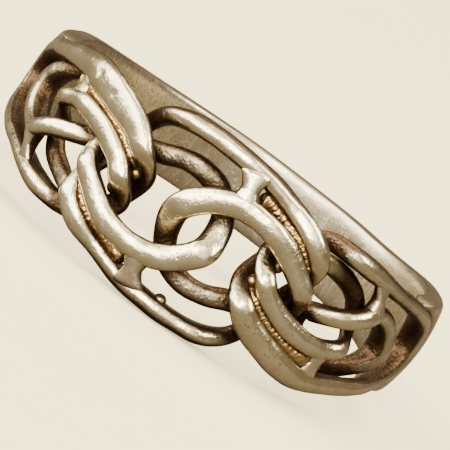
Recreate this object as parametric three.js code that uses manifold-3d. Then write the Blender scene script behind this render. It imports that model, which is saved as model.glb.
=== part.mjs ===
// A finger ring with an openwork front of linked ovals, lying on its side: +Z runs along the finger
// hole, the openwork front faces -Y and the plain shank closes the ring at +Y. Millimetres.
//
// The front is laid out flat first, as a goldsmith would bend it in wire, and then wrapped round the
// finger: u runs along the band from the middle of the front, v runs across the band along the finger,
// and a strand's depth is given by the radii of its inner and outer sides.
import * as THREE from "three";
import { mergeVertices } from "three/addons/utils/BufferGeometryUtils.js";
import Module from "manifold-3d";

const wasm = await Module();
wasm.setup();

// Driving dimensions
const fingerRadius = 9.0; // the finger hole, 18 mm across
const crestRadius = 11.05; // the highest strands of the front
const layoutRadius = 10.0; // the radius at which u is measured
const shankThickness = 1.35;
const shankEdge = 1.0; // thickness at its two side faces, because its outside is domed
const shankHalfWidth = 1.9; // at the back, where the band is narrowest
const shoulderHalfWidth = 2.3; // where the band meets the openwork
const flareStart = THREE.MathUtils.degToRad(35); // from the back, where the band begins to widen
const shankEnd = THREE.MathUtils.degToRad(80); // from the back, where the shank meets a shoulder
const shoulderTip = THREE.MathUtils.degToRad(102); // from the back, the ends of a shoulder's two arms
const solderGap = 0.05; // left between neighbouring pieces

// How deep a strand lies: the radii of its inner and outer sides
const flatUnder = [fingerRadius + 0.05, 9.55]; // hammered flat, under two other strands
const under = [fingerRadius + 0.05, 9.85];
const middle = [9.62, 10.2];
const rising = [9.72, 10.5];
const over = [10.26, crestRadius];
const rail = [fingerRadius + 0.1, 10.5]; // the tall strands along both edges of the band
const railEnd = [fingerRadius + 0.1, 10.3];
const shelf = [9.68, 10.8]; // an edge strand with a flat one beneath it
const lowShelf = [9.68, 10.5];
const deep = [fingerRadius + 0.1, 10.1];
const hookLow = [fingerRadius + 0.15, 9.95];
const hookTurn = [9.35, 10.45];
const hookHigh = [10.02, 10.85];

// The centre lines of the links in the left half of the front, each anticlockwise. A station is u, v,
// how deep the strand lies there, and how wide it is.
const centreHalf = [
  [5.15, 0.7, middle, 0.8],
  [4.9, 1.72, over, 0.85],
  [3.98, 2.55, over, 0.9],
  [2.75, 3.0, rail, 0.9],
  [1.4, 3.38, rail, 0.85],
  [0.0, 3.52, rail, 0.85],
  [-1.4, 3.55, rail, 0.85],
  [-2.7, 3.4, rail, 0.85],
  [-3.7, 3.0, deep, 0.8],
  [-4.4, 2.3, flatUnder, 0.8],
  [-4.8, 1.4, flatUnder, 0.8],
  [-4.95, 0.4, flatUnder, 0.8],
];
const centreLeft = [
  [0.98, 0.25, hookTurn, 1.15],
  [0.66, 1.15, hookLow, 1.0],
  [0.0, 1.8, hookLow, 1.0],
  [-0.95, 2.1, deep, 0.95],
  [-2.0, 2.0, deep, 0.9],
  [-3.0, 1.6, deep, 0.9],
  [-4.1, 1.35, middle, 0.8],
  [-5.0, 1.05, middle, 0.8],
  [-5.3, 0.3, rising, 0.8],
  [-4.95, -0.4, over, 0.9],
  [-4.25, -1.0, over, 0.95],
  [-3.4, -1.55, over, 1.05],
  [-2.4, -1.88, over, 1.0],
  [-1.4, -1.96, hookHigh, 1.0],
  [-0.5, -1.75, hookHigh, 1.05],
  [0.32, -1.2, hookHigh, 1.1],
  [0.88, -0.48, hookHigh, 1.15],
];
const leftLarge = [
  [-2.8, 0.55, middle, 0.85],
  [-3.15, 1.2, over, 1.0],
  [-3.9, 1.85, over, 1.15],
  [-5.0, 2.27, over, 1.35],
  [-6.3, 2.52, over, 1.35],
  [-7.7, 2.62, shelf, 1.25],
  [-9.2, 2.42, lowShelf, 1.0],
  [-11.0, 2.08, lowShelf, 0.8],
  [-12.7, 1.75, railEnd, 0.8],
  [-14.2, 1.15, railEnd, 0.8],
  [-14.8, 0.1, railEnd, 0.8],
  [-14.3, -0.95, railEnd, 0.8],
  [-13.0, -1.6, railEnd, 0.75],
  [-11.2, -1.98, railEnd, 0.7],
  [-9.5, -2.22, railEnd, 0.7],
  [-7.9, -2.5, rail, 0.85],
  [-6.4, -2.7, rail, 0.9],
  [-5.2, -2.65, flatUnder, 0.8],
  [-4.3, -2.1, flatUnder, 0.8],
  [-3.7, -1.3, flatUnder, 0.8],
  [-3.15, -0.35, flatUnder, 0.8],
];
const leftMiddle = [
  [-3.05, -0.95, middle, 0.85],
  [-3.35, -0.2, over, 0.9],
  [-3.85, 0.4, over, 0.9],
  [-4.6, 0.8, over, 0.95],
  [-5.5, 1.1, over, 0.95],
  [-6.5, 1.25, over, 0.9],
  [-7.4, 1.15, hookHigh, 0.8],
  [-8.2, 0.75, hookHigh, 0.75],
  [-8.65, 0.1, hookLow, 0.8],
  [-8.5, -0.7, under, 0.8],
  [-7.75, -1.35, under, 0.85],
  [-6.7, -1.72, under, 0.85],
  [-5.5, -1.9, middle, 0.75],
  [-4.4, -1.9, middle, 0.75],
  [-3.5, -1.6, middle, 0.8],
];
const leftOuter = [
  [-6.05, 0.35, hookLow, 0.85],
  [-6.4, 1.2, flatUnder, 0.75],
  [-7.2, 1.9, flatUnder, 0.8],
  [-8.5, 2.2, flatUnder, 0.85],
  [-9.8, 2.0, flatUnder, 0.9],
  [-10.85, 1.3, deep, 0.9],
  [-11.4, 0.6, railEnd, 1.05],
  [-11.15, -0.25, railEnd, 1.0],
  [-10.3, -0.85, railEnd, 0.85],
  [-9.3, -1.1, hookTurn, 0.8],
  [-8.5, -0.95, hookHigh, 0.8],
  [-7.6, -0.4, hookHigh, 0.8],
  [-6.7, 0.0, hookTurn, 0.85],
];

// The short stems that tie each small link to its large one: where a stem starts and ends, how deep it
// lies, how wide it is and the two links between which it stands. The second name is its twin's, half a
// turn away.
const stems = [
  {
    names: ["centre_upper_stem", "centre_lower_stem"],
    start: [0.8, 3.4],
    end: [1.15, 1.98],
    depth: [9.95, 10.75],
    width: 0.85,
    between: ["centre_large_link", "centre_right_link"],
  },
  {
    names: ["left_upper_stem", "right_lower_stem"],
    start: [-7.35, 2.45],
    end: [-7.35, 1.15],
    depth: [10.1, 10.65],
    width: 0.7,
    between: ["left_large_link", "left_middle_link"],
  },
  {
    names: ["left_lower_stem", "right_upper_stem"],
    start: [-8.3, -2.45],
    end: [-8.65, -1.0],
    depth: [9.98, 10.45],
    width: 0.6,
    between: ["left_large_link", "left_outer_link"],
  },
];

// A point of the layout wrapped round the finger
function onBand(u, v, radius) {
  const angle = u / layoutRadius;
  return new THREE.Vector3(radius * Math.sin(angle), -radius * Math.cos(angle), v);
}

// The front looks the same after half a turn about the line through its middle
function turned(stations) {
  return stations.map(([u, v, depth, width]) => [-u, -v, depth, width]);
}

// Moves every vertex of a geometry by a rule from its x, y, z
function reshaped(geometry, rule) {
  const position = geometry.attributes.position;
  for (let i = 0; i < position.count; i++) {
    const point = rule(position.getX(i), position.getY(i), position.getZ(i));
    position.setXYZ(i, point.x, point.y, point.z);
  }
  return geometry;
}

// One link: a torus bent along the stations, its section stretched to each one's width and depth.
// swell makes it larger all over, for cutting room in its neighbours.
function linkGeometry(stations, swell = 0) {
  const stepsPerStation = 3;
  const sides = 10;
  const hoopRadius = 2;
  const route = new THREE.CatmullRomCurve3(
    stations.map(([u, v]) => new THREE.Vector3(u, v, 0)), true);
  const section = new THREE.CatmullRomCurve3(
    stations.map(([, , depth, width]) => new THREE.Vector3(...depth, width)),
    true, "catmullrom", 0.35);
  const hoop = new THREE.TorusGeometry(hoopRadius, 1, sides, stations.length * stepsPerStation);
  return reshaped(hoop, (x, y, z) => {
    const along = THREE.MathUtils.euclideanModulo(Math.atan2(y, x) / (2 * Math.PI), 1);
    const centre = route.getPoint(along);
    const tangent = route.getTangent(along);
    const { x: inner, y: outer, z: width } = section.getPoint(along);
    const reach = (Math.hypot(x, y) - hoopRadius) * (width / 2 + swell);
    const radius = (inner + outer) / 2 + z * ((outer - inner) / 2 + swell);
    return onBand(centre.x + reach * tangent.y, centre.y - reach * tangent.x, radius);
  });
}

// A stem: a short bar of oval section from one centre line to the other
function stemGeometry(start, end, depth, width) {
  const bar = new THREE.CylinderGeometry(1, 1, 1, 10, 3);
  const run = new THREE.Vector2(end[0] - start[0], end[1] - start[1]);
  const side = new THREE.Vector2(run.y, -run.x).normalize().multiplyScalar(width / 2);
  return reshaped(bar, (x, y, z) => {
    const along = 0.5 + y;
    const radius = (depth[0] + depth[1]) / 2 + z * (depth[1] - depth[0]) / 2;
    return onBand(start[0] + along * run.x + x * side.x, start[1] + along * run.y + x * side.y, radius);
  });
}

// Half the width of the plain band at an angle measured from the back of the ring
function bandHalfWidth(fromBack) {
  const flare = THREE.MathUtils.smoothstep(Math.abs(fromBack), flareStart, shankEnd);
  return shankHalfWidth + (shoulderHalfWidth - shankHalfWidth) * flare;
}

// A stretch of the plain band between two angles from the back: flat inside and at its sides,
// domed outside
function bandGeometry(start, end, steps) {
  const acrossSteps = 6;
  const strip = new THREE.BoxGeometry(1, 1, 2, steps, 1, acrossSteps);
  return reshaped(strip, (x, y, z) => {
    const angle = start + (x + 0.5) * (end - start);
    const dome = shankEdge + (shankThickness - shankEdge) * (1 - z * z);
    const radius = fingerRadius + (y + 0.5) * dome;
    return new THREE.Vector3(radius * Math.sin(angle), radius * Math.cos(angle), z * bandHalfWidth(angle));
  });
}

// What is inside a link's centre line, right through the band
function insideGeometry(stations) {
  const route = new THREE.CatmullRomCurve3(
    stations.map(([u, v]) => new THREE.Vector3(u, v, 0)), true);
  const corners = route.getPoints(60).slice(0, -1);
  const outline = new THREE.Shape(corners.map(({ x, y }) => new THREE.Vector2(x, y)));
  const block = new THREE.ExtrudeGeometry(outline, { depth: 4, bevelEnabled: false });
  return reshaped(block, (x, y, z) => onBand(x, y, fingerRadius - 1 + z));
}

function solidFrom(geometry) {
  const bare = geometry.clone();
  bare.deleteAttribute("normal");
  bare.deleteAttribute("uv");
  const merged = mergeVertices(bare, 1e-4);
  return new wasm.Manifold(new wasm.Mesh({
    numProp: 3,
    vertProperties: merged.attributes.position.array,
    triVerts: new Uint32Array(merged.index.array),
  }));
}

function geometryFrom(solid) {
  const { vertProperties, triVerts } = solid.getMesh();
  const geometry = new THREE.BufferGeometry();
  geometry.setAttribute("position", new THREE.BufferAttribute(vertProperties, 3));
  geometry.setIndex(new THREE.BufferAttribute(triVerts, 1));
  return geometry;
}

// The finishes of the worn silver: polished strands, the duller shank, and the rougher solder joints
const wornSilver = { color: 0xc9bc97, roughness: 0.28, metalness: 1 };
const dullSilver = { color: 0xb8a67e, roughness: 0.4, metalness: 1 };
const solderedSilver = { color: 0xb59b68, roughness: 0.45, metalness: 1 };

const ring = new THREE.Group();
ring.position.y = (hookHigh[1] - fingerRadius - shankThickness) / 2; // the middle of the whole ring

function add(name, geometry, finish) {
  const mesh = new THREE.Mesh(geometry, new THREE.MeshStandardMaterial(finish));
  mesh.name = name;
  ring.add(mesh);
}

// Six small links and three large ones
const links = {
  centre_large_link: [...centreHalf, ...turned(centreHalf)],
  centre_left_link: centreLeft,
  centre_right_link: turned(centreLeft),
  left_large_link: leftLarge,
  left_middle_link: leftMiddle,
  left_outer_link: leftOuter,
  right_large_link: turned(leftLarge),
  right_middle_link: turned(leftMiddle),
  right_outer_link: turned(leftOuter),
};
for (const [name, stations] of Object.entries(links)) add(name, linkGeometry(stations), wornSilver);

// Each stem reaches both of its links, cut short of them by the gap
for (const { names, start, end, depth, width, between } of stems) {
  for (const [name, sign] of [[names[0], 1], [names[1], -1]]) {
    const [from, to] = [start, end].map(([u, v]) => [sign * u, sign * v]);
    let stem = solidFrom(stemGeometry(from, to, depth, width));
    for (const link of between) {
      const stations = sign > 0 ? links[link] : turned(links[link]);
      stem = stem.subtract(solidFrom(linkGeometry(stations, solderGap)));
    }
    add(name, geometryFrom(stem), solderedSilver);
  }
}

// The shank, and a shoulder at each end of it, forked round the end of the large link
add("shank", bandGeometry(-shankEnd, shankEnd, 56), dullSilver);
const shoulderStart = shankEnd + solderGap / fingerRadius;
for (const [side, sign] of [["left", -1], ["right", 1]]) {
  const stations = links[`${side}_large_link`];
  const [start, end] = [sign * shoulderStart, sign * shoulderTip].sort((a, b) => a - b);
  const shoulder = solidFrom(bandGeometry(start, end, 10))
    .subtract(solidFrom(linkGeometry(stations, solderGap)))
    .subtract(solidFrom(insideGeometry(stations)));
  add(`${side}_shoulder`, geometryFrom(shoulder), dullSilver);
}

export default ring;
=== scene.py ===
import math

import bpy
import numpy as np
from mathutils import Matrix, Vector, noise


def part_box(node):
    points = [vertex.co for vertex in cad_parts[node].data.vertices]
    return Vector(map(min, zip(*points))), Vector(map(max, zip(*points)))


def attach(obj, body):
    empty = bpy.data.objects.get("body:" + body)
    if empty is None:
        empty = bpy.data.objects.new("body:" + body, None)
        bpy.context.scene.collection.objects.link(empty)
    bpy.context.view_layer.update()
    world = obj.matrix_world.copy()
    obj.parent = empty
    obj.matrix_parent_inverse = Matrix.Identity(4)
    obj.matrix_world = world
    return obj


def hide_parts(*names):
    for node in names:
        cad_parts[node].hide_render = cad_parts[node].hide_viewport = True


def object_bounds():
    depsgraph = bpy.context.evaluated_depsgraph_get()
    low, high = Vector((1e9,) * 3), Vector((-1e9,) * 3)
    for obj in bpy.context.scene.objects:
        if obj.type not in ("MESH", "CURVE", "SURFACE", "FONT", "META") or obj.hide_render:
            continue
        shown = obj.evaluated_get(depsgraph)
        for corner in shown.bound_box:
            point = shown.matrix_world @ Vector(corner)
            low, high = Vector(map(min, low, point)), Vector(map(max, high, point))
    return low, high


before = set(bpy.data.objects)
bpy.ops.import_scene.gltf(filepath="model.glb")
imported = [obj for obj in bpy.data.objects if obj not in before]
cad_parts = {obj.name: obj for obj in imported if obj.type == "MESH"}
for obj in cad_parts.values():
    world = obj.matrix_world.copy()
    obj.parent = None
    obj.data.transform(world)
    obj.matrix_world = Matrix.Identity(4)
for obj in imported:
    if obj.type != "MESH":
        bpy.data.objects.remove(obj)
cad_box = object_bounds()

# ---------------------------------------------------------------------------------------------------
# The layout. The front is laid out flat in millimetres and wrapped round the finger, as the maker
# bends it in wire: u runs along the band from the middle of the front, v across it along the finger,
# and a strand's depth is given by the radii of its inner and outer sides.
# ---------------------------------------------------------------------------------------------------
MM = 0.001
LAYOUT_RADIUS = 10.0  # the radius at which u is measured
FINGER_RADIUS = 9.0
BAND_THICKNESS = 1.35
HOLE_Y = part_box("shank")[1][1] / MM - FINGER_RADIUS - BAND_THICKNESS  # the finger hole's axis


def on_band(u, v, radius):
    """A point, or an array of them, of the layout wrapped round the finger, in metres."""
    angle = np.asarray(u) / LAYOUT_RADIUS
    return np.stack([radius * np.sin(angle), HOLE_Y - radius * np.cos(angle), v + 0 * angle], -1) * MM


def headings(path):
    """The unit vector along a closed path, across the layout, at each of its points."""
    ahead = np.roll(path[:, :2], -1, 0) - np.roll(path[:, :2], 1, 0)
    return ahead / np.linalg.norm(ahead, axis=1)[:, None]


def rounded_section(sides, power):
    """Places round a section, from -1 to 1 each way: a circle at power 1, squarer below it."""
    turn = np.linspace(0, 2 * math.pi, sides, endpoint=False)
    return (np.sign(np.cos(turn)) * np.abs(np.cos(turn)) ** power,
            np.sign(np.sin(turn)) * np.abs(np.sin(turn)) ** power)


def eased(t):
    """From 0 to 1 with a slow start and a slow end."""
    return t * t * (3 - 2 * t)


SMOOTHINGS = 5  # passes that take the corners off a curve


def closed_curve(stations, steps):
    """A closed curve through rows of numbers, centripetal in the first two of them."""
    rows = np.array(stations, float)
    before, after, beyond = (np.roll(rows, shift, 0) for shift in (1, -1, -2))
    gap = np.maximum(np.hypot(*(after - rows)[:, :2].T), 1e-6) ** 0.5
    gap_before, gap_after = np.roll(gap, 1)[:, None], np.roll(gap, -1)[:, None]
    gap = gap[:, None]
    slope = (rows - before) / gap_before - (after - before) / (gap_before + gap) + (after - rows) / gap
    slope_after = (after - rows) / gap - (beyond - rows) / (gap + gap_after) + (beyond - after) / gap_after
    slope, slope_after = slope * gap, slope_after * gap
    t = (np.arange(steps) / steps)[None, :, None]
    a, b, m, n = rows[:, None], after[:, None], slope[:, None], slope_after[:, None]
    points = a + m * t + (3 * (b - a) - 2 * m - n) * t**2 + (2 * (a - b) + m + n) * t**3
    points = points.reshape(-1, rows.shape[1])
    for _ in range(SMOOTHINGS):
        points = sum(np.roll(points, shift, 0) for shift in range(-2, 3)) / 5
    return points


def make_piece(name, points, faces, replaced):
    """One visible piece of the ring from its points and faces, smooth, riding with the ring."""
    mesh = bpy.data.meshes.new(name)
    mesh.from_pydata([tuple(p) for p in points], [], faces)
    mesh.validate()
    mesh.shade_smooth()
    piece = bpy.data.objects.new(name, mesh)
    bpy.context.scene.collection.objects.link(piece)
    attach(piece, "root")
    if replaced:
        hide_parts(*replaced)
    return piece


def tube_faces(rings, sides, closed):
    """The faces of a grid of rings, closed on itself or capped at both ends."""
    faces = []
    for i in range(rings if closed else rings - 1):
        j = (i + 1) % rings
        for k in range(sides):
            m = (k + 1) % sides
            faces.append((i * sides + k, i * sides + m, j * sides + m, j * sides + k))
    if not closed:
        faces.append(tuple(reversed(range(sides))))
        faces.append(tuple(range((rings - 1) * sides, rings * sides)))
    return faces


# ---------------------------------------------------------------------------------------------------
# The links: oval hoops of silver wire, forged broad where two lie side by side and thin where one
# passes under another, then soldered. Three large ones make the edges of the band, and six small
# ones hook each other along its middle. A station is u, v, the radii of the strand's inner and
# outer sides, and its width.
# ---------------------------------------------------------------------------------------------------
FLAT_UNDER = (9.05, 9.55)  # hammered flat, under two other strands
UNDER = (9.05, 9.85)
MIDDLE = (9.62, 10.2)
RISING = (9.72, 10.5)
OVER = (10.26, 11.05)
RAIL = (9.1, 10.5)  # the tall strands along both edges of the band
RAIL_END = (9.1, 10.3)
SHELF = (9.68, 10.8)  # an edge strand with a flat one beneath it
LOW_SHELF = (9.68, 10.5)
DEEP = (9.1, 10.1)
HOOK_LOW = (9.15, 9.95)
HOOK_TURN = (9.35, 10.45)
HOOK_HIGH = (10.02, 10.85)

CENTRE_HALF = [
    (5.15, 0.7, *MIDDLE, 0.8),
    (4.9, 1.72, *OVER, 0.85),
    (3.98, 2.55, *OVER, 0.9),
    (2.75, 3.0, *RAIL, 0.9),
    (1.4, 3.38, *RAIL, 0.85),
    (0.0, 3.52, *RAIL, 0.85),
    (-1.4, 3.55, *RAIL, 0.85),
    (-2.7, 3.4, *RAIL, 0.85),
    (-3.7, 3.0, *DEEP, 0.8),
    (-4.4, 2.3, *FLAT_UNDER, 0.8),
    (-4.8, 1.4, *FLAT_UNDER, 0.8),
    (-4.95, 0.4, *FLAT_UNDER, 0.8),
]
CENTRE_LEFT = [
    (0.98, 0.25, *HOOK_TURN, 1.15),
    (0.66, 1.15, *HOOK_LOW, 1.0),
    (0.0, 1.8, *HOOK_LOW, 1.0),
    (-0.95, 2.1, *DEEP, 0.95),
    (-2.0, 2.0, *DEEP, 0.9),
    (-3.0, 1.6, *DEEP, 0.9),
    (-4.1, 1.35, *MIDDLE, 0.8),
    (-5.0, 1.05, *MIDDLE, 0.8),
    (-5.3, 0.3, *RISING, 0.8),
    (-4.95, -0.4, *OVER, 0.9),
    (-4.25, -1.0, *OVER, 0.95),
    (-3.4, -1.55, *OVER, 1.05),
    (-2.4, -1.88, *OVER, 1.0),
    (-1.4, -1.96, *HOOK_HIGH, 1.0),
    (-0.5, -1.75, *HOOK_HIGH, 1.05),
    (0.32, -1.2, *HOOK_HIGH, 1.1),
    (0.88, -0.48, *HOOK_HIGH, 1.15),
]
LEFT_LARGE = [
    (-2.8, 0.55, *MIDDLE, 0.85),
    (-3.15, 1.2, *OVER, 1.0),
    (-3.9, 1.85, *OVER, 1.15),
    (-5.0, 2.27, *OVER, 1.35),
    (-6.3, 2.52, *OVER, 1.35),
    (-7.7, 2.62, *SHELF, 1.25),
    (-9.2, 2.42, *LOW_SHELF, 1.0),
    (-11.0, 2.08, *LOW_SHELF, 0.8),
    (-12.7, 1.75, *RAIL_END, 0.8),
    (-14.2, 1.15, *RAIL_END, 0.8),
    (-14.8, 0.1, *RAIL_END, 0.8),
    (-14.3, -0.95, *RAIL_END, 0.8),
    (-13.0, -1.6, *RAIL_END, 0.75),
    (-11.2, -1.98, *RAIL_END, 0.7),
    (-9.5, -2.22, *RAIL_END, 0.7),
    (-7.9, -2.5, *RAIL, 0.85),
    (-6.4, -2.7, *RAIL, 0.9),
    (-5.2, -2.65, *FLAT_UNDER, 0.8),
    (-4.3, -2.1, *FLAT_UNDER, 0.8),
    (-3.7, -1.3, *FLAT_UNDER, 0.8),
    (-3.15, -0.35, *FLAT_UNDER, 0.8),
]
LEFT_MIDDLE = [
    (-3.05, -0.95, *MIDDLE, 0.85),
    (-3.35, -0.2, *OVER, 0.9),
    (-3.85, 0.4, *OVER, 0.9),
    (-4.6, 0.8, *OVER, 0.95),
    (-5.5, 1.1, *OVER, 0.95),
    (-6.5, 1.25, *OVER, 0.9),
    (-7.4, 1.15, *HOOK_HIGH, 0.8),
    (-8.2, 0.75, *HOOK_HIGH, 0.75),
    (-8.65, 0.1, *HOOK_LOW, 0.8),
    (-8.5, -0.7, *UNDER, 0.8),
    (-7.75, -1.35, *UNDER, 0.85),
    (-6.7, -1.72, *UNDER, 0.85),
    (-5.5, -1.9, *MIDDLE, 0.75),
    (-4.4, -1.9, *MIDDLE, 0.75),
    (-3.5, -1.6, *MIDDLE, 0.8),
]
LEFT_OUTER = [
    (-6.05, 0.35, *HOOK_LOW, 0.85),
    (-6.4, 1.2, *FLAT_UNDER, 0.75),
    (-7.2, 1.9, *FLAT_UNDER, 0.8),
    (-8.5, 2.2, *FLAT_UNDER, 0.85),
    (-9.8, 2.0, *FLAT_UNDER, 0.9),
    (-10.85, 1.3, *DEEP, 0.9),
    (-11.4, 0.6, *RAIL_END, 1.05),
    (-11.15, -0.25, *RAIL_END, 1.0),
    (-10.3, -0.85, *RAIL_END, 0.85),
    (-9.3, -1.1, *HOOK_TURN, 0.8),
    (-8.5, -0.95, *HOOK_HIGH, 0.8),
    (-7.6, -0.4, *HOOK_HIGH, 0.8),
    (-6.7, 0.0, *HOOK_TURN, 0.85),
]


def turned(stations):
    """The front looks the same after half a turn about the line through its middle."""
    return [(-u, -v, *rest) for u, v, *rest in stations]


# The right large link was forged thinner along the band's lower edge than its twin.
RIGHT_LARGE = turned(LEFT_LARGE)
RIGHT_LARGE[3:8] = [
    (5.0, -2.3, *OVER, 1.2),
    (6.3, -2.64, *OVER, 1.1),
    (7.7, -2.76, *SHELF, 0.95),
    (9.2, -2.5, *LOW_SHELF, 0.84),
    (11.0, -2.12, *LOW_SHELF, 0.72),
]

LINKS = {
    "centre_large_link": CENTRE_HALF + turned(CENTRE_HALF),
    "centre_left_link": CENTRE_LEFT,
    "centre_right_link": turned(CENTRE_LEFT),
    "left_large_link": LEFT_LARGE,
    "left_middle_link": LEFT_MIDDLE,
    "left_outer_link": LEFT_OUTER,
    "right_large_link": RIGHT_LARGE,
    "right_middle_link": turned(LEFT_MIDDLE),
    "right_outer_link": turned(LEFT_OUTER),
}
LINK_SIDES = 32
STEPS_PER_STATION = 14
SQUARENESS = 2.15  # of a strand's section: 2 is an ellipse, more is flatter on top
POLISHED_AWAY = 0.94  # what the polishing has left of a strand's height
FULLNESS = 1.03  # of a strand's width, with its solder
TOP_FLATNESS = 0.7  # how far the polishing has flattened a strand's top
DENT_SIZE = 1.3  # mm, from one hammered dent to the next
DENT_DEPTH = 0.05
DENTED_HALF_WIDTH = 0.45  # mm, the strand on which a dent is that deep
DENT_SHARE = 0.3  # more leaves fewer places undented
SEED_STEP = 7.3  # so that no two links have the same dents
CASTING_PITS = (  # u, v, size, depth
    (-6.7, 2.7, 0.2, 0.1),
    (-5.6, 2.35, 0.14, 0.05),
    (4.4, -1.2, 0.16, 0.07),
)


def strand_rings(path):
    """Rings of points round a strand, from rows of u, v, inner and outer radius, and width."""
    ahead = headings(path)
    across, lift = rounded_section(LINK_SIDES, 2 / SQUARENESS)
    flattened = np.tanh(lift * TOP_FLATNESS) / np.tanh(TOP_FLATNESS) * POLISHED_AWAY
    lift = np.where(lift > 0, flattened, lift)
    inner, outer, width = path[:, 2:3], path[:, 3:4], path[:, 4:5] * FULLNESS
    u = path[:, 0:1] + across * width / 2 * ahead[:, 1:2]
    v = path[:, 1:2] - across * width / 2 * ahead[:, 0:1]
    radius = (inner + outer) / 2 + lift * (outer - inner) / 2
    return on_band(u, v, radius).reshape(-1, 3)


def dented(points, centres, seed):
    """The points drawn in towards the strand's centre line by dents and casting pits, never out."""
    moved = []
    for point, centre in zip(points, centres):
        depth = noise.noise(Vector(point) / (DENT_SIZE * MM) + Vector((seed, 0, 0))) + DENT_SHARE
        moved.append(point + (centre - point) * max(depth, 0) * DENT_DEPTH / DENTED_HALF_WIDTH)
    moved = np.array(moved)
    inward = (centres - points) / np.linalg.norm(centres - points, axis=1)[:, None]
    for u, v, size, depth in CASTING_PITS:
        away = np.linalg.norm(moved - on_band(u, v, OVER[1]), axis=1) / MM
        moved += inward * (np.exp(-(away / size) ** 2) * depth * MM)[:, None]
    return moved


link_pieces = {}
for number, (name, stations) in enumerate(LINKS.items()):
    path = closed_curve(stations, STEPS_PER_STATION)
    rings = strand_rings(path)
    middle = on_band(path[:, 0], path[:, 1], (path[:, 2] + path[:, 3]) / 2)
    rings = dented(rings, np.repeat(middle, LINK_SIDES, 0), number * SEED_STEP)
    link_pieces[name] = make_piece(
        name + "_wire", rings, tube_faces(len(path), LINK_SIDES, True), [name])

# ---------------------------------------------------------------------------------------------------
# Worn silver. Polished links are bright where the hand rubs them and brown with oxide in their hollows.
# The same brown, and a duller tone on the strands' sides, is also painted shade: under the strands,
# between them, on their sides and on the deep strands down by the finger. One group says where the
# tarnish and the painted shade go, one gives the fine scratches, pits and hammer marks, and one gives
# the grains of the casting and the solder.
# ---------------------------------------------------------------------------------------------------
def new_group(name, sockets_in, sockets_out):
    """A node group whose sockets all carry numbers, and its input and output nodes."""
    group = bpy.data.node_groups.new(name, "ShaderNodeTree")
    for socket, value in sockets_in:
        made = group.interface.new_socket(socket, in_out="INPUT", socket_type="NodeSocketFloat")
        made.default_value = value
    for socket in sockets_out:
        group.interface.new_socket(socket, in_out="OUTPUT", socket_type="NodeSocketFloat")
    return group, group.nodes.new("NodeGroupInput"), group.nodes.new("NodeGroupOutput")


def add(tree, kind, links=(), **settings):
    """A node with its settings, and its inputs linked to sockets or set to numbers."""
    node = tree.nodes.new(kind)
    for key, value in settings.items():
        setattr(node, key, value)
    for key, value in dict(links).items():
        socket = node.inputs[key]
        if isinstance(value, bpy.types.NodeSocket):
            tree.links.new(value, socket)
        else:
            socket.default_value = value
    return node


def math_node(tree, operation, first, second=0.0, clamp=False):
    """The outcome of a sum on one or two values."""
    return add(tree, "ShaderNodeMath", {0: first, 1: second}, operation=operation,
               use_clamp=clamp).outputs[0]


def ramp(tree, value, low, high, to_low=0.0, to_high=1.0):
    """The value carried smoothly from one range to another."""
    return add(tree, "ShaderNodeMapRange",
               {"Value": value, "From Min": low, "From Max": high, "To Min": to_low, "To Max": to_high},
               interpolation_type="SMOOTHSTEP").outputs[0]


tarnish_shade_group, reach_in, reach_out = new_group(
    "tarnish_and_painted_shade",
    [("Occlusion Distance", 0.0011), ("Deep Radius", 0.0097), ("High Radius", 0.0107)],
    ["Tarnish", "Polish And Painted Light"])
place = add(tarnish_shade_group, "ShaderNodeTexCoord").outputs["Object"]
from_axis = add(tarnish_shade_group, "ShaderNodeVectorMath", {0: place, 1: (0, -HOLE_Y * MM, 0)}, operation="ADD")
from_axis = add(tarnish_shade_group, "ShaderNodeVectorMath", {0: from_axis.outputs[0], 1: (1, 1, 0)},
                operation="MULTIPLY").outputs[0]
radius = add(tarnish_shade_group, "ShaderNodeVectorMath", {0: from_axis}, operation="LENGTH").outputs["Value"]
outward = add(tarnish_shade_group, "ShaderNodeVectorMath", {0: from_axis}, operation="NORMALIZE").outputs[0]
facing = add(tarnish_shade_group, "ShaderNodeVectorMath",
             {0: add(tarnish_shade_group, "ShaderNodeNewGeometry").outputs["Normal"], 1: outward},
             operation="DOT_PRODUCT").outputs["Value"]
openness = add(tarnish_shade_group, "ShaderNodeAmbientOcclusion", {"Distance": reach_in.outputs["Occlusion Distance"]},
               samples=8).outputs["AO"]
patches = add(tarnish_shade_group, "ShaderNodeTexNoise", {"Vector": place, "Scale": 900.0, "Detail": 5.0,
                                            "Roughness": 0.6}).outputs["Fac"]
# painted shade: darker in the recesses that the ambient occlusion finds, over the oxide that lies there
painted_shade_in_recesses = ramp(tarnish_shade_group, openness, 0.2, 0.85, 1.0, 0.0)
by_the_finger = ramp(tarnish_shade_group, facing, -0.95, -0.4, 1.0, 0.0)  # the finger rubs the inside clean
away_from_it = math_node(tarnish_shade_group, "SUBTRACT", 1.0, math_node(tarnish_shade_group, "MULTIPLY", by_the_finger, 0.75))
# painted shade on the strands' sides, which turn away from the outside; they are also less rubbed
unrubbed_and_shaded_sides = math_node(tarnish_shade_group, "MULTIPLY", ramp(tarnish_shade_group, facing, 0.3, 0.97, 1.0, 0.0), away_from_it)
# painted shade: deep strands near the finger, lying under others, are darkened by their radius
depth = ramp(tarnish_shade_group, radius, reach_in.outputs["Deep Radius"], reach_in.outputs["High Radius"], 1.0, 0.0)
depth = math_node(tarnish_shade_group, "MULTIPLY", depth, away_from_it)
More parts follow.
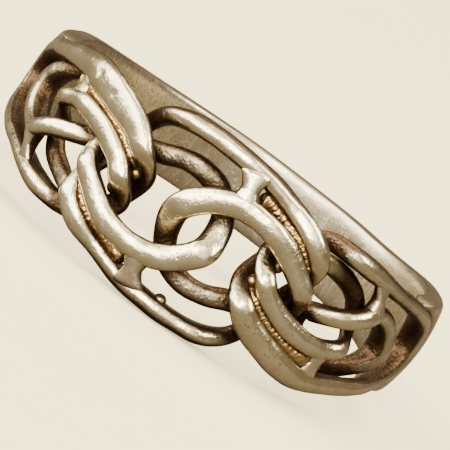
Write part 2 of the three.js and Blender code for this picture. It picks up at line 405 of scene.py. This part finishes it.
# the dark mix: random patches of oxide, plus painted shade in recesses, on the sides and on deep strands
oxide_and_shade = math_node(tarnish_shade_group, "MULTIPLY", painted_shade_in_recesses, 0.55)
oxide_and_shade = math_node(tarnish_shade_group, "ADD", oxide_and_shade, math_node(tarnish_shade_group, "MULTIPLY", unrubbed_and_shaded_sides, 0.55))
oxide_and_shade = math_node(tarnish_shade_group, "ADD", oxide_and_shade, math_node(tarnish_shade_group, "MULTIPLY", depth, 0.62))
oxide_and_shade = math_node(tarnish_shade_group, "ADD", oxide_and_shade, math_node(tarnish_shade_group, "MULTIPLY", patches, 0.7))
tarnish_shade_group.links.new(ramp(tarnish_shade_group, oxide_and_shade, 0.5, 1.0), reach_out.inputs["Tarnish"])
# the clean colour goes on open faces turned outward; sides and recesses keep the duller worn colour,
# partly wear and partly painted shade
polish_and_painted_light = math_node(tarnish_shade_group, "SUBTRACT", 1.0, unrubbed_and_shaded_sides)
polish_and_painted_light = math_node(tarnish_shade_group, "MULTIPLY", polish_and_painted_light, ramp(tarnish_shade_group, openness, 0.5, 1.0))
tarnish_shade_group.links.new(math_node(tarnish_shade_group, "MULTIPLY", polish_and_painted_light, ramp(tarnish_shade_group, patches, 0.35, 0.6, 0.45, 1.0)),
                reach_out.inputs["Polish And Painted Light"])

rubbed, rubbed_in, rubbed_out = new_group(
    "scratches_pits_and_hammer_marks",
    [("Scratches", 1.0), ("Pits", 1.0), ("Marks", 1.0)],
    ["Height", "Roughening", "Dirt In Pits"])
place = add(rubbed, "ShaderNodeTexCoord").outputs["Object"]
fine = None
for turn, scale in (((0.3, 0.5, 0.7), (400.0, 9000.0, 400.0)), ((1.1, -0.4, 2.0), (350.0, 7000.0, 350.0)),
                    ((-0.6, 0.9, -1.3), (500.0, 8000.0, 500.0))):
    way = add(rubbed, "ShaderNodeMapping", {"Vector": place, "Rotation": turn, "Scale": scale})
    lines = add(rubbed, "ShaderNodeTexNoise", {"Vector": way.outputs[0], "Scale": 1.0, "Detail": 2.0})
    lines = ramp(rubbed, lines.outputs["Fac"], 0.60, 0.72)
    fine = lines if fine is None else math_node(rubbed, "MAXIMUM", fine, lines)
fine = math_node(rubbed, "MULTIPLY", fine, rubbed_in.outputs["Scratches"])
pits = add(rubbed, "ShaderNodeTexVoronoi", {"Vector": place, "Scale": 4200.0, "Randomness": 1.0})
pits = ramp(rubbed, pits.outputs["Distance"], 0.05, 0.3, 1.0, 0.0)
few = add(rubbed, "ShaderNodeTexNoise", {"Vector": place, "Scale": 1500.0, "Detail": 2.0})
pits = math_node(rubbed, "MULTIPLY", pits, ramp(rubbed, few.outputs["Fac"], 0.46, 0.6))
pits = math_node(rubbed, "MULTIPLY", pits, rubbed_in.outputs["Pits"])
marks = add(rubbed, "ShaderNodeTexNoise", {"Vector": place, "Scale": 1100.0, "Detail": 3.0})
ripple = add(rubbed, "ShaderNodeTexNoise", {"Vector": place, "Scale": 4500.0, "Detail": 4.0,
                                            "Roughness": 0.65})
marks = math_node(rubbed, "ADD", marks.outputs["Fac"],
                  math_node(rubbed, "MULTIPLY", ripple.outputs["Fac"], 0.22))
marks = math_node(rubbed, "MULTIPLY", marks, rubbed_in.outputs["Marks"])
height = math_node(rubbed, "SUBTRACT", marks, math_node(rubbed, "MULTIPLY", fine, 0.014))
height = math_node(rubbed, "SUBTRACT", height, math_node(rubbed, "MULTIPLY", pits, 0.16))
rubbed.links.new(height, rubbed_out.inputs["Height"])
rubbed.links.new(math_node(rubbed, "MAXIMUM", math_node(rubbed, "MULTIPLY", fine, 0.5), pits),
                 rubbed_out.inputs["Roughening"])
rubbed.links.new(pits, rubbed_out.inputs["Dirt In Pits"])

grains, grains_in, grains_out = new_group(
    "grains_of_cast_metal", [("Size", 9000.0), ("Where", 1.0)], ["Height", "Glitter"])
place = add(grains, "ShaderNodeTexCoord").outputs["Object"]
beads = add(grains, "ShaderNodeTexVoronoi", {"Vector": place, "Scale": grains_in.outputs["Size"]},
            feature="SMOOTH_F1")
beads = ramp(grains, beads.outputs["Distance"], 0.0, 0.75, 1.0, 0.0)
beads = math_node(grains, "MULTIPLY", beads, grains_in.outputs["Where"])
grains.links.new(beads, grains_out.inputs["Height"])
grains.links.new(ramp(grains, beads, 0.55, 0.95), grains_out.inputs["Glitter"])


def silver(name, clean, worn, tarnish_and_shade_colour, smooth, rough, scratches=1.0, grainy=0.4, marks=1.0,
           occlusion_distance=0.0011, deep=0.0097, high=0.0107):
    """Worn silver in three colours: where it is rubbed; where it is less rubbed, with painted shade on its
    sides and in recesses; and where it is dark, with oxide and painted shade.
    """
    material = bpy.data.materials.new(name)
    material.use_nodes = True
    tree = material.node_tree
    shader = tree.nodes["Principled BSDF"]
    hand = add(tree, "ShaderNodeGroup", node_tree=tarnish_shade_group)
    hand.inputs["Occlusion Distance"].default_value = occlusion_distance
    hand.inputs["Deep Radius"].default_value = deep
    hand.inputs["High Radius"].default_value = high
    wear = add(tree, "ShaderNodeGroup", node_tree=rubbed)
    wear.inputs["Scratches"].default_value = scratches
    wear.inputs["Marks"].default_value = marks
    cast = add(tree, "ShaderNodeGroup", node_tree=grains)
    tree.links.new(math_node(tree, "MULTIPLY", hand.outputs["Tarnish"], grainy), cast.inputs["Where"])
    # painted shade: the worn colour on the sides and in recesses is partly wear and partly painted shade
    rubbed_and_shaded_tone = add(tree, "ShaderNodeMix", {"Factor": hand.outputs["Polish And Painted Light"]}, data_type="RGBA")
    rubbed_and_shaded_tone.inputs["A"].default_value = (*worn, 1)
    rubbed_and_shaded_tone.inputs["B"].default_value = (*clean, 1)
    dark = math_node(tree, "MAXIMUM", hand.outputs["Tarnish"],
                     math_node(tree, "MULTIPLY", wear.outputs["Dirt In Pits"], 0.75))
    # the dark colour: oxide in the hollows and pits, plus painted shade under and between the strands and
    # on deep ones
    tone = add(tree, "ShaderNodeMix", {"Factor": dark}, data_type="RGBA")
    tree.links.new(rubbed_and_shaded_tone.outputs["Result"], tone.inputs["A"])
    tone.inputs["B"].default_value = (*tarnish_and_shade_colour, 1)
    glitter = add(tree, "ShaderNodeMix", data_type="RGBA")
    tree.links.new(math_node(tree, "MULTIPLY", cast.outputs["Glitter"], 0.55), glitter.inputs["Factor"])
    tree.links.new(tone.outputs["Result"], glitter.inputs["A"])
    glitter.inputs["B"].default_value = (0.62, 0.42, 0.16, 1)
    tree.links.new(glitter.outputs["Result"], shader.inputs["Base Color"])
    shader.inputs["Metallic"].default_value = 1.0
    roughness = ramp(tree, hand.outputs["Tarnish"], 0.0, 1.0, smooth, rough)
    roughness = math_node(tree, "ADD", roughness,
                          math_node(tree, "MULTIPLY", wear.outputs["Roughening"], 0.2), clamp=True)
    tree.links.new(roughness, shader.inputs["Roughness"])
    relief = math_node(tree, "ADD", wear.outputs["Height"],
                       math_node(tree, "MULTIPLY", cast.outputs["Height"], 0.5))
    bump = add(tree, "ShaderNodeBump", {"Height": relief, "Distance": 0.00005, "Strength": 1.0})
    tree.links.new(bump.outputs["Normal"], shader.inputs["Normal"])
    return material


link_silver = silver("rubbed silver", (0.93, 0.87, 0.62), (0.74, 0.62, 0.38), (0.085, 0.05, 0.028),
                     0.17, 0.4, marks=1.3, grainy=0.7)
for piece in link_pieces.values():
    piece.data.materials.append(link_silver)

# ---------------------------------------------------------------------------------------------------
# The solder bridges that tie the links to each other: short bars of wire run in with solder, so
# that each flares into the links at both of its ends.
# ---------------------------------------------------------------------------------------------------
STEMS = {
    ("centre_upper_stem", "centre_lower_stem"): ((0.8, 3.4), (1.12, 1.95), 9.9, 10.55, 10.78, 0.72),
    ("left_upper_stem", "right_lower_stem"): ((-7.35, 2.45), (-7.35, 1.15), 10.1, 10.7, 10.75, 0.55),
    ("left_lower_stem", "right_upper_stem"): ((-8.3, -2.45), (-8.65, -1.0), 9.9, 10.3, 10.75, 0.5),
}
STEM_RINGS = 40
STEM_SIDES = 32
FLARE = (1.0, 1.3)  # of the width, gained at the large link and at the small one
FLARE_LENGTH = 0.55
STEM_OVERLAP = 0.12  # mm, how far its solder runs over each link
STEM_END_ROUNDING = 0.25  # mm
STEM_POWER = 0.85

stem_silver = silver("solder bridges", (0.92, 0.86, 0.66), (0.6, 0.49, 0.31), (0.07, 0.04, 0.022),
                     0.2, 0.4, grainy=0.7, deep=0.0096, high=0.0104)


def stem_points(start, end, inner, outer_at_start, outer_at_end, width, sign):
    """A bar laid from one link onto another, waisted in its middle and spread out at both ends."""
    start, end = np.array(start) * sign, np.array(end) * sign
    length = np.linalg.norm(end - start)
    along = (end - start) / length
    aside = np.array([along[1], -along[0]])
    x, y = rounded_section(STEM_SIDES, STEM_POWER)
    rings = []
    for t in np.linspace(-STEM_OVERLAP, length + STEM_OVERLAP, STEM_RINGS):
        from_end = min(t, length - t) + STEM_OVERLAP
        gain = 1 + FLARE[int(t > length / 2)] * math.exp(-(from_end / FLARE_LENGTH) ** 2)
        rounding = math.sqrt(1 - (1 - min(max(from_end / STEM_END_ROUNDING, 0.002), 1)) ** 2)
        here = start + along * t
        outer = outer_at_start + (outer_at_end - outer_at_start) * min(max(t / length, 0), 1)
        across = x * width / 2 * gain * rounding
        lift = y * (outer - inner) / 2 * rounding
        rings.append(on_band(here[0] + across * aside[0], here[1] + across * aside[1],
                             (inner + outer) / 2 + lift))
    return np.concatenate(rings)


for nodes, sizes in STEMS.items():
    for node, sign in zip(nodes, (1, -1)):
        piece = make_piece(node + "_bridge", stem_points(*sizes, sign),
                           tube_faces(STEM_RINGS, STEM_SIDES, False), [node])
        piece.data.materials.append(stem_silver)

# ---------------------------------------------------------------------------------------------------
# The solder left in the grooves where two links lie side by side. It was never reached by the
# polishing, so it keeps the grains and the yellow of the casting.
# ---------------------------------------------------------------------------------------------------
GROOVES = {  # the two links, and the widest gap between them that the solder bridges, in mm
    "left_groove_solder": ("left_large_link", "left_middle_link", 1.0),
    "right_groove_solder": ("right_large_link", "right_middle_link", 1.0),
    "centre_left_groove_solder": ("centre_large_link", "centre_left_link", 0.5),
    "centre_right_groove_solder": ("centre_large_link", "centre_right_link", 0.5),
}
SOLDERED_ABOVE = 10.15  # both strands are at least this high, their outer sides' radius
SOLDER_BELOW_STRANDS = 0.26  # its top under the lower of their tops
SOLDER_DEPTH = 0.75
SOLDER_OVERLAP = 0.2  # mm, under the strand on each side
SOLDER_STEP = 0.03  # mm, from one ring of points to the next
SOLDER_TAPER = 0.3  # mm, over which it runs out at each end
NARROWEST_GAP = 0.05
SOLDER_SIDES = 28
GRAIN = 0.1  # mm
GRAIN_HEIGHT = 0.09

groove_silver = silver("gold grained solder", (0.72, 0.52, 0.24), (0.5, 0.32, 0.13), (0.09, 0.04, 0.017),
                       0.3, 0.5, scratches=0.0, grainy=1.0, occlusion_distance=0.0005, deep=0.0093,
                       high=0.0101)


def groove_path(first, second, widest):
    """The line midway between two strands where both are high and close: u, v, gap, solder's top."""
    one = closed_curve(LINKS[first], STEPS_PER_STATION)
    two = closed_curve(LINKS[second], STEPS_PER_STATION)
    two = two[two[:, 3] > SOLDERED_ABOVE]
    line = []
    for here in one:
        apart = np.hypot(*(two[:, :2] - here[:2]).T)
        other = two[apart.argmin()]
        gap = apart.min() - (here[4] + other[4]) / 2
        if here[3] <= SOLDERED_ABOVE or gap > widest:
            line.append(None)
            continue
        toward = (other[:2] - here[:2]) / apart.min()
        line.append((*(here[:2] + toward * (here[4] + gap) / 2), max(gap, NARROWEST_GAP),
                     min(here[3], other[3]) - SOLDER_BELOW_STRANDS))
    runs, run = [], []
    for point in line + line:
        if point is None:
            runs.append(run)
            run = []
        else:
            run.append(point)
    return np.array(max(runs + [run], key=len))


for name, (first, second, widest) in GROOVES.items():
    line = groove_path(first, second, widest)
    length = np.concatenate([[0], np.cumsum(np.hypot(*np.diff(line[:, :2], axis=0).T))])
    fine = np.arange(0, length[-1], SOLDER_STEP)
    line = np.stack([np.interp(fine, length, line[:, i]) for i in range(4)], 1)
    ahead = np.gradient(line[:, :2], axis=0)
    ahead /= np.linalg.norm(ahead, axis=1)[:, None]
    turn = np.linspace(0, 2 * math.pi, SOLDER_SIDES, endpoint=False)
    taper = np.sqrt(np.clip(np.minimum(fine, fine[-1] - fine) / SOLDER_TAPER, 0.02, 1))[:, None]
    half_width = (line[:, 2:3] / 2 + SOLDER_OVERLAP) * taper
    u = line[:, 0:1] + np.cos(turn) * half_width * ahead[:, 1:2]
    v = line[:, 1:2] - np.cos(turn) * half_width * ahead[:, 0:1]
    radius = line[:, 3:4] - SOLDER_DEPTH / 2 * (1 - np.sin(turn) * taper)
    points = on_band(u, v, radius).reshape(-1, 3)
    outwards = points * np.array([1, 1, 0]) - np.array([0, HOLE_Y * MM, 0])
    outwards /= np.linalg.norm(outwards, axis=1)[:, None]
    lumps = [noise.cell(Vector(p) / (GRAIN * MM)) * 0.3
             + noise.voronoi(Vector(p) / (GRAIN * MM))[0][0] * -1.0 for p in points]
    points = points + outwards * (np.array(lumps)[:, None] + 0.3) * GRAIN_HEIGHT * MM
    piece = make_piece(name, points, tube_faces(len(fine), SOLDER_SIDES, False), ())
    piece.data.materials.append(groove_silver)

# Where a large link and a middle one turn down together, solder has also filled the space between.
TIP_SOLDER = (  # u, v, radius, size
    (3.28, -0.35, 9.9, 0.3),
    (3.75, 0.68, 9.85, 0.3),
    (3.5, 0.2, 9.75, 0.34),
)
TIP_RINGS = 20
LUMP_POLE = 0.03  # radians left open at each end, before the cap


def lump_points(u, v, radius, size):
    """A round lump of metal, at a place in the layout."""
    turn = np.linspace(0, 2 * math.pi, SOLDER_SIDES, endpoint=False)
    rings = []
    for lean in np.linspace(LUMP_POLE, math.pi - LUMP_POLE, TIP_RINGS):
        rings.append(on_band(u + size * math.cos(lean) + 0 * turn,
                             v + size * math.sin(lean) * np.cos(turn),
                             radius + size * math.sin(lean) * np.sin(turn)))
    return np.concatenate(rings)


for side, sign in (("left", -1), ("right", 1)):
    for count, (u, v, radius, size) in enumerate(TIP_SOLDER):
        lump = lump_points(sign * u, sign * v, radius, size)
        piece = make_piece(f"{side}_tip_solder_{count + 1}", lump,
                           tube_faces(TIP_RINGS, SOLDER_SIDES, False), ())
        piece.data.materials.append(groove_silver)

# A burr was never filed off the inner edge of the centre large link, beside its lower stem.
burr = make_piece("casting_burr", lump_points(0.62, -3.2, sum(RAIL) / 2, 0.3),
                  tube_faces(TIP_RINGS, SOLDER_SIDES, False), ())
burr.data.materials.append(link_silver)

# ---------------------------------------------------------------------------------------------------
# The shank: the plain band round the back of the finger, domed outside, widening to the shoulders.
# Its edges have been rubbed round.
# ---------------------------------------------------------------------------------------------------
BAND_EDGE = 1.0  # its thickness at the edges
SHANK_HALF_WIDTH = 1.9
SHOULDER_HALF_WIDTH = 2.3
FLARE_START = 35  # degrees from the back
SEAM = 80  # degrees from the back, where the shank meets the shoulders
SHANK_END = 80.15
SHANK_STEPS = 260
BAND_SIDES = 72
BAND_SQUARENESS = 7
BAND_WEAR = 0.012  # of its width

band_silver = silver("worn band", (0.84, 0.77, 0.58), (0.46, 0.38, 0.25), (0.16, 0.118, 0.076),
                     0.26, 0.42, grainy=0.2, marks=0.4, deep=0.0086, high=0.0097)


def band_half_width(degrees):
    """Half of the band's width, at a place in degrees from the back."""
    t = np.clip((np.abs(degrees) - FLARE_START) / (SEAM - FLARE_START), 0, 1)
    return SHANK_HALF_WIDTH + (SHOULDER_HALF_WIDTH - SHANK_HALF_WIDTH) * eased(t)


def band_radius(across, up):
    """The radius at a place across the band, from -1 to 1, and up through it, from -1 to 1."""
    return FINGER_RADIUS + (up + 1) / 2 * (BAND_EDGE + (BAND_THICKNESS - BAND_EDGE) * (1 - across**2))


def round_the_back(degrees, radius, across):
    """A point, or an array of them, in degrees from the back of the finger, in metres."""
    angle = np.radians(degrees)
    return np.stack([radius * np.sin(angle), HOLE_Y + radius * np.cos(angle), across], -1) * MM


degrees = np.concatenate([[-SHANK_END, -SHANK_END + 0.02],
                          np.linspace(-SHANK_END + 0.5, SHANK_END - 0.5, SHANK_STEPS),
                          [SHANK_END - 0.02, SHANK_END]])[:, None]
across, up = rounded_section(BAND_SIDES, 2 / BAND_SQUARENESS)
wear = 1 - BAND_WEAR * (1 + np.sin(np.radians(degrees) * 7 + 1.0) * np.sin(np.radians(degrees) * 3))
points = round_the_back(degrees + 0 * across, band_radius(across, up) + 0 * degrees,
                        across * band_half_width(degrees) * wear).reshape(-1, 3)
shank = make_piece("shank_band", points, tube_faces(len(degrees), BAND_SIDES, False), ["shank"])
shank.data.materials.append(band_silver)

# ---------------------------------------------------------------------------------------------------
# The shoulders: where the band divides round the outer end of each outer large link and runs out
# thin along both of its sides. They are soldered to the shank and to the link.
# ---------------------------------------------------------------------------------------------------
FORK_U = 12.5  # where the prongs end, along the band
FORK_REACH = 0.12  # radians past a right angle, seen from the middle of the fork
FORK_TAPER = 0.6  # radians over which each prong thins away to nothing
FORK_BURIED = 0.2  # how far its tip is buried in the link
FORK_STEPS = 150
FORK_SIDES = 40
FORK_GAP = 0.03
FORK_SQUARENESS = 4.5
FORK_SHARE = 0.985  # of the band's width
FORK_THINNEST = 0.04
FORK_BEHIND = 0.9  # how far past its middle the link's outline is followed
FORK_LOWER = 0.004  # its surface below the shank's
GROOVE_DEPTH = 0.18  # of the groove between the shoulder and the link
GROOVE_WIDTH = 0.22
BEYOND_SEAM = 79.2  # degrees: the shoulder runs this far, a little way inside the shank's end


def fork_points(link, side):
    """Loops from the link's outline out to the band's edges, round the link's outer end."""
    path = closed_curve(LINKS[link], STEPS_PER_STATION)
    ahead = headings(path)
    normal = np.stack([ahead[:, 1], -ahead[:, 0]], 1)
    middle = path[:, :2].mean(0)
    normal *= np.sign(((path[:, :2] - middle) * normal).sum(1))[:, None]
    outline = path[:, :2] + normal * (path[:, 4:5] / 2 + FORK_GAP)
    centre = np.array([side * FORK_U, 0.0])
    outline = outline - centre
    beside = side * outline[:, 0] > -FORK_BEHIND
    outline = outline[beside]
    bearing = np.arctan2(outline[:, 1], side * outline[:, 0])
    order = bearing.argsort()
    bearing, reach_to = bearing[order], np.hypot(*outline[order].T)
    link_radius = path[beside][order, 2:4].mean(1)
    end_u = math.radians(180 - BEYOND_SEAM) * LAYOUT_RADIUS - FORK_U
    loops = []
    x, y = rounded_section(FORK_SIDES, 2 / FORK_SQUARENESS)
    for turn in np.linspace(-math.pi / 2 - FORK_REACH, math.pi / 2 + FORK_REACH, FORK_STEPS):
        near = np.interp(turn, bearing, reach_to)
        way = np.array([math.cos(turn), math.sin(turn)])
        u_here = side * FORK_U + side * way[0] * near
        degrees_here = 180 - math.degrees(abs(u_here) / LAYOUT_RADIUS)
        half = float(band_half_width(min(degrees_here, SEAM))) * FORK_SHARE
        far = min(half / max(abs(way[1]), 1e-6), end_u / max(way[0], 1e-6) if way[0] > 0 else 1e9)
        tip = min((math.pi / 2 + FORK_REACH - abs(turn)) / FORK_TAPER, 1)
        fullness = eased(tip)
        far = max(near + (far - near) * fullness, near + FORK_THINNEST)
        t = (x + 1) / 2
        distance = near + (far - near) * t - FORK_BURIED * (1 - fullness)
        u = centre[0] + side * way[0] * distance
        v = way[1] * distance
        degrees_there = 180 - np.degrees(np.abs(u) / LAYOUT_RADIUS)
        half_there = band_half_width(np.minimum(degrees_there, SEAM))
        radius = band_radius(np.clip(v / half_there, -1, 1), y)
        level = np.interp(turn, bearing, link_radius)
        radius = level + (radius - level) * fullness
        groove = GROOVE_DEPTH * np.exp(-((distance - near) / GROOVE_WIDTH) ** 2) * (y > 0)
        loops.append(on_band(u, v, radius - groove - FORK_LOWER))
    return np.concatenate(loops)


for side, name in ((-1, "left"), (1, "right")):
    piece = make_piece(name + "_shoulder_fork", fork_points(name + "_large_link", side),
                       tube_faces(FORK_STEPS, FORK_SIDES, False), [name + "_shoulder"])
    piece.data.materials.append(band_silver)

# ---------------------------------------------------------------------------------------------------
# The studio: a pale sheet of paper, a window of two panes behind the viewer, a pale wall to the left,
# a soft light above, strips to the right and low down, and a brown room that shows in the metal.
# ---------------------------------------------------------------------------------------------------
paper = bpy.data.materials.new("pale paper")
paper.use_nodes = True
tree = paper.node_tree
shader = tree.nodes["Principled BSDF"]
fibre = add(tree, "ShaderNodeTexNoise", {"Scale": 60.0, "Detail": 8.0, "Roughness": 0.7,
                                         "Vector": add(tree, "ShaderNodeTexCoord").outputs["Object"]})
seen = add(tree, "ShaderNodeLightPath").outputs["Is Camera Ray"]
grey = ramp(tree, fibre.outputs["Fac"], 0.3, 0.7, 0.96, 1.0)
lit = add(tree, "ShaderNodeMix", {"Factor": seen}, data_type="RGBA")
lit.inputs["A"].default_value = (0.07, 0.052, 0.036, 1)
lit.inputs["B"].default_value = (0.9, 0.81, 0.49, 1)
shade = add(tree, "ShaderNodeMix", {"Factor": 1.0}, data_type="RGBA", blend_type="MULTIPLY")
tree.links.new(lit.outputs["Result"], shade.inputs["A"])
tree.links.new(grey, shade.inputs["B"])
tree.links.new(shade.outputs["Result"], shader.inputs["Base Color"])
glow = add(tree, "ShaderNodeMix", {"Factor": seen}, data_type="RGBA")
glow.inputs["A"].default_value = (0, 0, 0, 1)
tree.links.new(shade.outputs["Result"], glow.inputs["B"])
tree.links.new(glow.outputs["Result"], shader.inputs["Emission Color"])
shader.inputs["Emission Strength"].default_value = 1.1
shader.inputs["Roughness"].default_value = 0.85

floor_mesh = bpy.data.meshes.new("paper")
FLOOR_REACH = 3.0
floor_z = cad_box[0].z
floor_mesh.from_pydata([(x * FLOOR_REACH, y * FLOOR_REACH, floor_z)
                        for x, y in ((-1, -1), (1, -1), (1, 1), (-1, 1))], [], [(0, 1, 2, 3)])
floor = bpy.data.objects.new("paper", floor_mesh)
bpy.context.scene.collection.objects.link(floor)
floor.data.materials.append(paper)

VIEW_AZIMUTH = math.radians(3.28)
VIEW_ELEVATION = math.radians(8.22)
VIEW_ROLL = math.radians(36)
VIEW_DISTANCE = 0.15
LENS = 280
SHIFT_UP = 0.0378  # of the frame's width: the finger hole's middle is this far above the frame's
back = Vector((math.sin(VIEW_AZIMUTH) * math.cos(VIEW_ELEVATION),
               -math.cos(VIEW_AZIMUTH) * math.cos(VIEW_ELEVATION), math.sin(VIEW_ELEVATION)))
level_right = (-back).cross(Vector((0, 0, 1))).normalized()
level_up = level_right.cross(-back)
right = level_right * math.cos(VIEW_ROLL) + level_up * math.sin(VIEW_ROLL)
up = level_up * math.cos(VIEW_ROLL) - level_right * math.sin(VIEW_ROLL)
hole_centre = Vector((0, HOLE_Y * MM, 0))

camera = bpy.data.objects.new("camera", bpy.data.cameras.new("camera"))
bpy.context.scene.collection.objects.link(camera)
bpy.context.scene.camera = camera
camera.location = hole_centre + back * VIEW_DISTANCE
camera.rotation_mode = "QUATERNION"
camera.rotation_quaternion = Matrix((right, up, back)).transposed().to_quaternion()
camera.data.sensor_width = 36
camera.data.lens = LENS
camera.data.shift_y = -SHIFT_UP
camera.data.clip_start = 0.01
camera.data.clip_end = 20


def soft_light(name, direction, distance, width, height, power, colour):
    """A rectangular soft light aimed at the ring from a direction."""
    light = bpy.data.objects.new(name, bpy.data.lights.new(name, "AREA"))
    bpy.context.scene.collection.objects.link(light)
    light.data.shape = "RECTANGLE"
    light.data.size, light.data.size_y = width, height
    light.data.energy = power
    light.data.color = colour
    direction = direction.normalized()
    light.location = hole_centre + direction * distance
    light.rotation_mode = "QUATERNION"
    light.rotation_quaternion = direction.to_track_quat("Z", "Y")


WARM = (1.0, 0.95, 0.78)
soft_light("left pane", back + up * 0.3 - right * 0.62, 1.2, 0.4, 1.15, 19, WARM)
soft_light("right pane", back + up * 0.3 + right * 0.02, 1.2, 0.4, 1.15, 19, WARM)
soft_light("left wall", back * 0.3 - level_right + level_up * 0.35, 1.3, 1.3, 1.3, 36, WARM)
soft_light("over", Vector((0, 0.25, 1)), 1.6, 1.1, 1.1, 34, WARM)
soft_light("strip", back * 0.5 + right * 0.9 + up * 0.3, 1.2, 0.3, 0.9, 13, WARM)
soft_light("low strip", back * 0.7 - up * 0.9 - right * 0.3, 1.2, 0.8, 0.16, 5, WARM)

# The room is light where the lamps stand and dark on the other side of the ring. The things standing
# about in it show in the polished metal as dark and light streaks.
room = bpy.data.worlds.new("room")
room.use_nodes = True
tree = room.node_tree
lamp_side = (up * 0.6 + back * 0.75 - right * 0.35).normalized()
toward_lamps = add(tree, "ShaderNodeVectorMath",
                   {0: add(tree, "ShaderNodeTexCoord").outputs["Generated"], 1: lamp_side},
                   operation="DOT_PRODUCT").outputs["Value"]
way_out = add(tree, "ShaderNodeTexCoord").outputs["Generated"]
furniture = add(tree, "ShaderNodeTexNoise", {"Vector": way_out, "Scale": 2.6, "Detail": 2.0,
                                             "Distortion": 0.6})
lit = math_node(tree, "MULTIPLY", ramp(tree, toward_lamps, -0.1, 0.85),
                ramp(tree, furniture.outputs["Fac"], 0.42, 0.56))
walls = add(tree, "ShaderNodeMix", {"Factor": lit}, data_type="RGBA")
walls.inputs["A"].default_value = (0.24, 0.18, 0.115, 1)
walls.inputs["B"].default_value = (2.9, 2.65, 2.0, 1)
tree.links.new(walls.outputs["Result"], tree.nodes["Background"].inputs["Color"])
tree.nodes["Background"].inputs["Strength"].default_value = 1.0
bpy.context.scene.world = room
